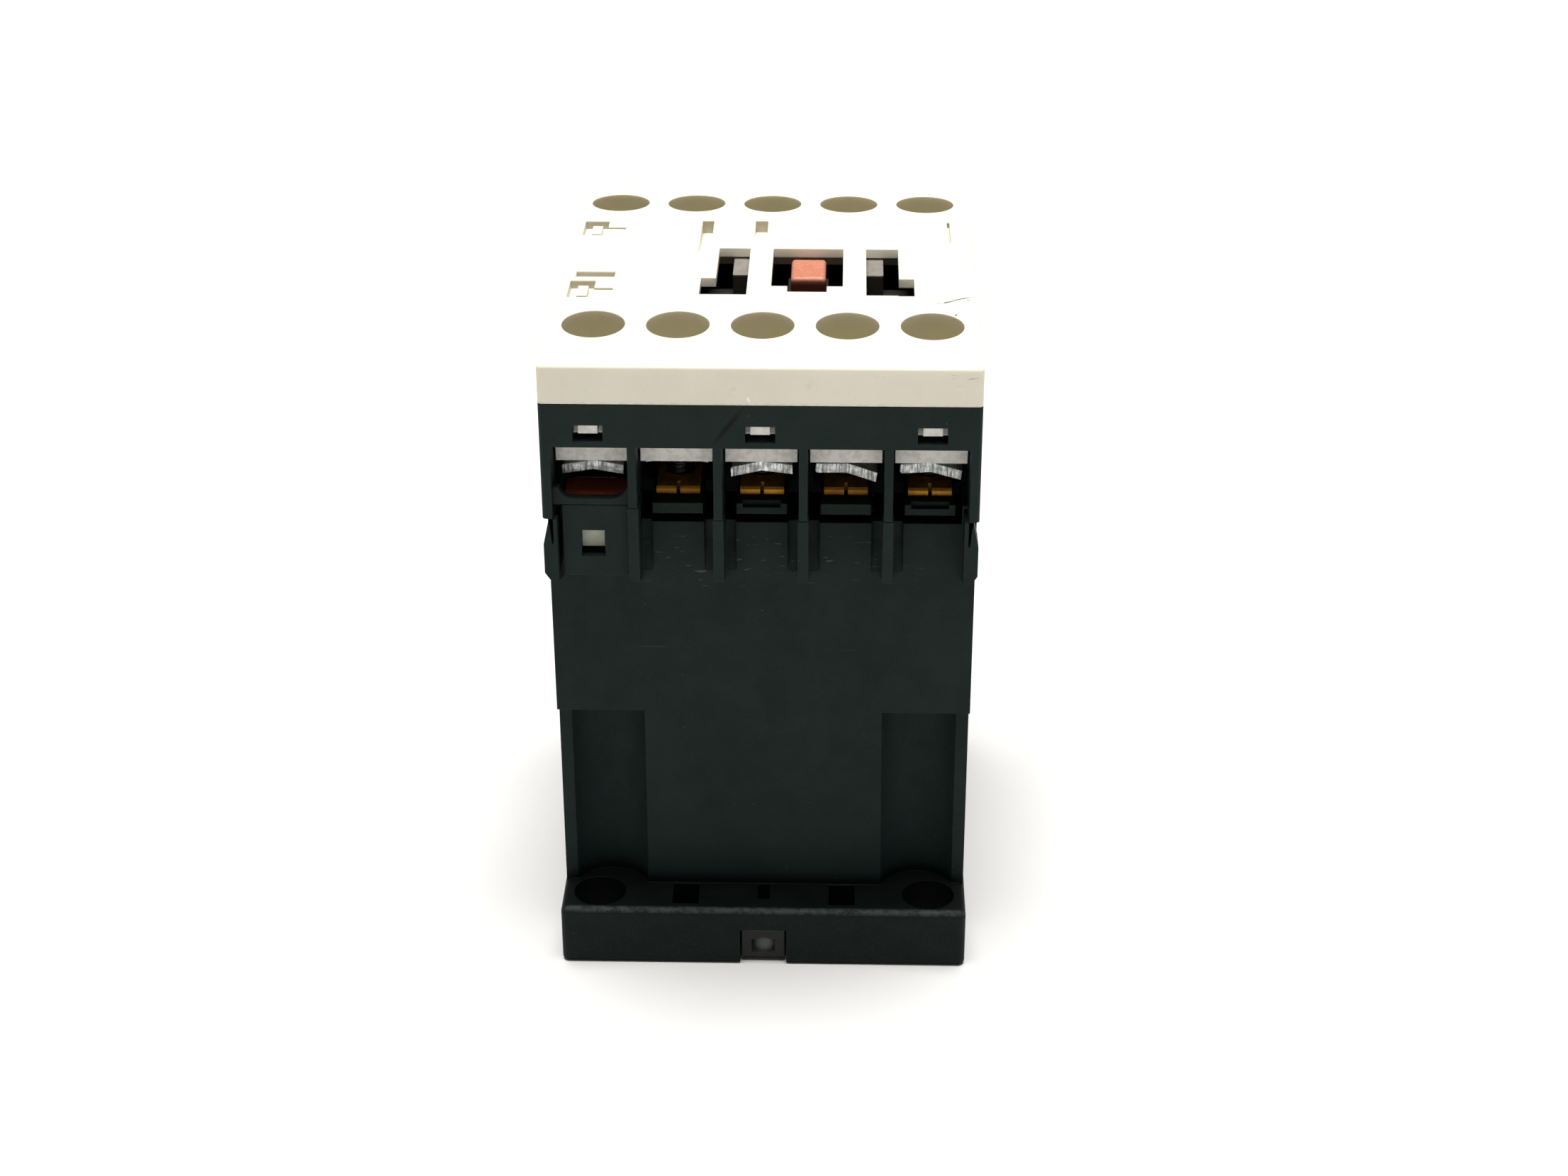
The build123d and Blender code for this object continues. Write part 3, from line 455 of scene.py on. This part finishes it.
def plain_plastic(name, dark, light, low, high, depth=0.012, coat=0.0, specular=0.5):
    """A moulded or rubbery surface with two mixed tones."""
    g = Graph(name, specular=specular, coat=coat)
    edge, rounded = g.edges(0.12)
    colour = g.mix(g.band(g.noise(0.7, 5.0), 0.3, 0.7), dark, light)
    colour = g.tint(colour, tuple(min(1.0, c * 1.5 + 0.01) for c in light), edge, 0.25)
    rough = g.band(g.noise(1.3, 4.0), 0.25, 0.75, low, high)
    return g.finish(colour, rough, g.bump(g.noise(6.0, 3.0), depth, rounded))


def winding_tape():
    """Amber winding tape in overlapping turns."""
    g = Graph("winding_tape", specular=0.5, coat=0.3)
    layers = g.math("FRACT", g.math("MULTIPLY", g.axis("Z"), 0.22))
    colour = g.mix(g.band(layers, 0.0, 1.0), (0.62, 0.40, 0.07), (0.80, 0.56, 0.14))
    colour = g.mix(g.band(g.noise(0.8, 4.0), 0.45, 0.7, 0.0, 0.5), colour, (0.42, 0.22, 0.05))
    rough = g.band(g.noise(2.0), 0.3, 0.7, 0.22, 0.36)
    return g.finish(colour, rough, g.bump(layers, 0.06))


def latch_plastic():
    """Black glossy plastic, with a painted reflection in the screwdriver pocket and a painted highlight on
    the tab's top edge.
    """
    g = Graph("latch_plastic", specular=0.25)
    edge, rounded = g.edges(0.2)
    colour = g.mix(g.band(g.noise(0.7, 5.0), 0.3, 0.7), (0.0050, 0.0052, 0.0048), (0.0085, 0.0088, 0.0080))
    # Painted reflection: a pale soft spot in the screwdriver pocket.
    painted_reflection = g.spot((0.1, FRONT_Y + 0.95, 2.2), (1.35, 2.2, 1.15), 0.7)
    uneven = g.band(g.noise(1.0, 4.0), 0.2, 0.6, 0.75, 1.0)
    colour = g.tint(colour, (0.165, 0.195, 0.182), painted_reflection, uneven)
    # Painted highlight: a pale line along the top edge of the tab.
    crescent_highlight = g.product(g.band(g.axis("Z"), 4.0, 4.2), g.band(g.axis("Y"), FRONT_Y + 1.05, FRONT_Y + 0.65))
    crescent_highlight = g.product(crescent_highlight, g.band(g.math("ABSOLUTE", g.axis("X")), 1.9, 1.2))
    colour = g.tint(colour, (0.42, 0.42, 0.34), crescent_highlight, 0.8)
    colour = g.tint(colour, (0.035, 0.036, 0.033), edge, 0.15)
    rough = g.band(g.noise(1.3, 4.0), 0.25, 0.75, 0.22, 0.36)
    return g.finish(colour, rough, g.bump(g.noise(6.0, 3.0), 0.008, rounded))


MATERIALS = {
    "housing_plastic": housing_plastic(),
    "cover_plastic": cover_plastic(),
    "carrier_plastic": plain_plastic("carrier_plastic", (0.020, 0.020, 0.017), (0.034, 0.034, 0.029),
                                     0.45, 0.6, specular=0.2),
    "post_plastic": post_plastic(),
    "indicator_plastic": indicator_plastic(),
    "zinc_steel": zinc_steel(),
    "screw_steel": zinc_steel("screw_steel", threaded=True),
    "sheared_steel": sheared_steel(),
    "copper_strip": strip_metal(),
    "silver_tip": plain_metal("silver_tip", (0.62, 0.60, 0.56), (0.80, 0.79, 0.76), 0.3, 0.5),
    "core_steel": plain_metal("core_steel", (0.20, 0.20, 0.20), (0.34, 0.34, 0.34), 0.35, 0.5,
                              grain=(6.0, 0.3, 0.3), depth=0.04),
    "copper_ring": plain_metal("copper_ring", (0.62, 0.27, 0.14), (0.80, 0.42, 0.24), 0.25, 0.4),
    "spring_steel": plain_metal("spring_steel", (0.46, 0.46, 0.46), (0.66, 0.67, 0.68), 0.18, 0.3),
    "rubber_pad": plain_plastic("rubber_pad", (0.010, 0.010, 0.010), (0.022, 0.022, 0.022), 0.7, 0.85),
    "bobbin_plastic": plain_plastic("bobbin_plastic", (0.42, 0.46, 0.33), (0.52, 0.56, 0.42), 0.38, 0.5),
    "winding_tape": winding_tape(),
    "guide_plastic": plain_plastic("guide_plastic", (0.52, 0.105, 0.050), (0.66, 0.150, 0.075), 0.3, 0.45),
    "latch_plastic": latch_plastic(),
}

SLOT_OF_NODE = {s["node"]: s["material_slot"] for s in frame["record"]["subparts"]}
for name, node in NODES.items():
    slot = SLOT_OF_NODE[name]
    if name.startswith("terminal_screw"):
        slot = "screw_steel"
    if name.startswith("terminal_clamp"):
        slot = "sheared_steel"
    node.data.materials.clear()
    node.data.materials.append(MATERIALS[slot])


# ------------------------------------------------------------------ springs
def coil_points(radius, height, turns, steps=28):
    """A helix with closed end turns, as points along +Z from the origin."""
    points = []
    total = turns + 2 * DEAD_TURNS
    count = int(total * steps)
    for i in range(count + 1):
        turn = total * i / count
        first = min(turn / DEAD_TURNS, 1.0)
        open_part = min(max((turn - DEAD_TURNS) / turns, 0.0), 1.0)
        last = min(max((turn - DEAD_TURNS - turns) / DEAD_TURNS, 0.0), 1.0)
        rise = open_part * (1 - 2 * END_RISE) + END_RISE * first + END_RISE * last
        angle = 2 * math.pi * turn
        points.append(Vector((radius * math.cos(angle), radius * math.sin(angle), rise * height)))
    return points


def tube(name, points, radius, sides=12):
    """A round wire along the points, closed at both ends."""
    mesh = bpy.data.meshes.new(name)
    bm = bmesh.new()
    rings = []
    for i, point in enumerate(points):
        ahead = points[min(i + 1, len(points) - 1)] - points[max(i - 1, 0)]
        out = Vector((point.x, point.y, 0)).normalized()
        up = ahead.normalized().cross(out).normalized()
        out = up.cross(ahead.normalized()).normalized()
        ring = []
        for s in range(sides):
            a = 2 * math.pi * s / sides
            ring.append(bm.verts.new(point + out * (radius * math.cos(a)) + up * (radius * math.sin(a))))
        rings.append(ring)
    for low, high in zip(rings, rings[1:]):
        for s in range(sides):
            bm.faces.new((low[s], low[(s + 1) % sides], high[(s + 1) % sides], high[s]))
    bm.faces.new(reversed(rings[0]))
    bm.faces.new(rings[-1])
    bmesh.ops.recalc_face_normals(bm, faces=bm.faces)
    bm.to_mesh(mesh)
    bm.free()
    for face in mesh.polygons:
        face.use_smooth = len(face.vertices) == 4
    piece = bpy.data.objects.new(name, mesh)
    bpy.context.scene.collection.objects.link(piece)
    return piece


def wound_spring(node, body, along, fixed_low, spring):
    """A compression spring in place of a CAD node."""
    wire, turns, travel = spring
    low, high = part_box(node)
    axis = "XYZ".index(along)
    length = (high - low)[axis]
    across = [i for i in range(3) if i != axis]
    radius = (high - low)[across[0]] / 2 - wire * MM / 2
    middle = (low + high) / 2
    spun = tube(node + "_wire", coil_points(radius, length - wire * MM, turns), wire * MM / 2)
    if along == "Y":
        spun.data.transform(ALONG_Y)
    start = middle.copy()
    start[axis] = low[axis] + wire * MM / 2
    spun.data.transform(Matrix.Translation(start))
    spun.data.materials.append(MATERIALS["spring_steel"])
    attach(spun, body)
    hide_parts(node)
    anchor = list(middle)
    anchor[axis] = (low if fixed_low else high)[axis]
    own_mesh(spun)


for side in ("left", "right"):
    wound_spring("return_spring_" + side, "housing", "Z", True, RETURN_SPRING)
for number in range(1, 5):
    wound_spring("contact_spring_%d" % number, "carrier", "Z", False, CONTACT_SPRING)
wound_spring("latch_spring", "housing", "Y", True, LATCH_SPRING)


# ------------------------------------------------------------------ studio
def floor_material():
    """Matt pale paper with a faint drift in tone."""
    g = Graph("studio_floor", roughness=0.9, specular=0.1)
    tone = g.band(g.noise(0.02, 2.0), 0.3, 0.7, 0.0, 1.0)
    return g.finish(g.mix(tone, (0.690, 0.682, 0.670), (0.715, 0.709, 0.700)))


def make_floor():
    """A pale flat floor, far larger than the object and a hair below it."""
    half = 4.0
    level = -0.00002
    bm = bmesh.new()
    mesh = bpy.data.meshes.new("studio_floor")
    corners = ((-half, -half), (half, -half), (half, half), (-half, half))
    bm.faces.new([bm.verts.new((x, y, level)) for x, y in corners])
    bm.to_mesh(mesh)
    bm.free()
    floor = bpy.data.objects.new("studio_floor", mesh)
    bpy.context.scene.collection.objects.link(floor)
    mesh.materials.append(floor_material())


def sun_light(name, direction, spread, strength, colour):
    """A wide soft light from far away. Direction points from the object to the light."""
    light = bpy.data.lights.new(name, "SUN")
    light.angle = math.radians(spread)
    light.energy = strength
    light.color = colour
    lamp = bpy.data.objects.new(name, light)
    lamp.rotation_mode = "QUATERNION"
    lamp.rotation_quaternion = (-Vector(direction)).to_track_quat("-Z", "Y")
    bpy.context.scene.collection.objects.link(lamp)


def make_world(light, shown):
    """Even pale surroundings. The background a camera sees is set apart from the light it gives."""
    world = bpy.data.worlds.new("studio")
    world.use_nodes = True
    tree = world.node_tree
    tree.nodes.clear()
    output = tree.nodes.new("ShaderNodeOutputWorld")
    mix = tree.nodes.new("ShaderNodeMixShader")
    path = tree.nodes.new("ShaderNodeLightPath")
    for i, strength in enumerate((light, shown)):
        back = tree.nodes.new("ShaderNodeBackground")
        back.inputs["Color"].default_value = (1, 1, 1, 1)
        back.inputs["Strength"].default_value = strength
        tree.links.new(back.outputs[0], mix.inputs[1 + i])
    tree.links.new(path.outputs["Is Camera Ray"], mix.inputs[0])
    tree.links.new(mix.outputs[0], output.inputs["Surface"])
    bpy.context.scene.world = world


def make_camera():
    """A normal lens, slightly above the front edge and looking down at the lower terminals."""
    camera = bpy.data.cameras.new("camera")
    camera.sensor_width = 36.0
    camera.lens = 62.72
    camera.clip_start = 0.01
    camera.clip_end = 50.0
    down, yaw, roll = (math.radians(a) for a in (27.293, 1.429, 0.092))
    rig = bpy.data.objects.new("camera", camera)
    rig.location = (0.00870, -0.28124, 0.17770)
    turn = Matrix.Rotation(yaw, 3, "Z") @ Matrix.Rotation(-down, 3, "X") @ Matrix.Rotation(roll, 3, "Y")
    rig.rotation_mode = "QUATERNION"
    rig.rotation_quaternion = (turn @ Matrix.Rotation(math.radians(90), 3, "X")).to_quaternion()
    bpy.context.scene.collection.objects.link(rig)
    bpy.context.scene.camera = rig


make_floor()
make_world(light=0.12, shown=1.0)
sun_light("overhead", direction=(0.0, 0.02, 1.0), spread=44.0, strength=5.7, colour=(1.0, 0.995, 0.985))
make_camera()
bpy.context.scene.view_settings.view_transform = "Standard"
bpy.context.scene.view_settings.look = "None"
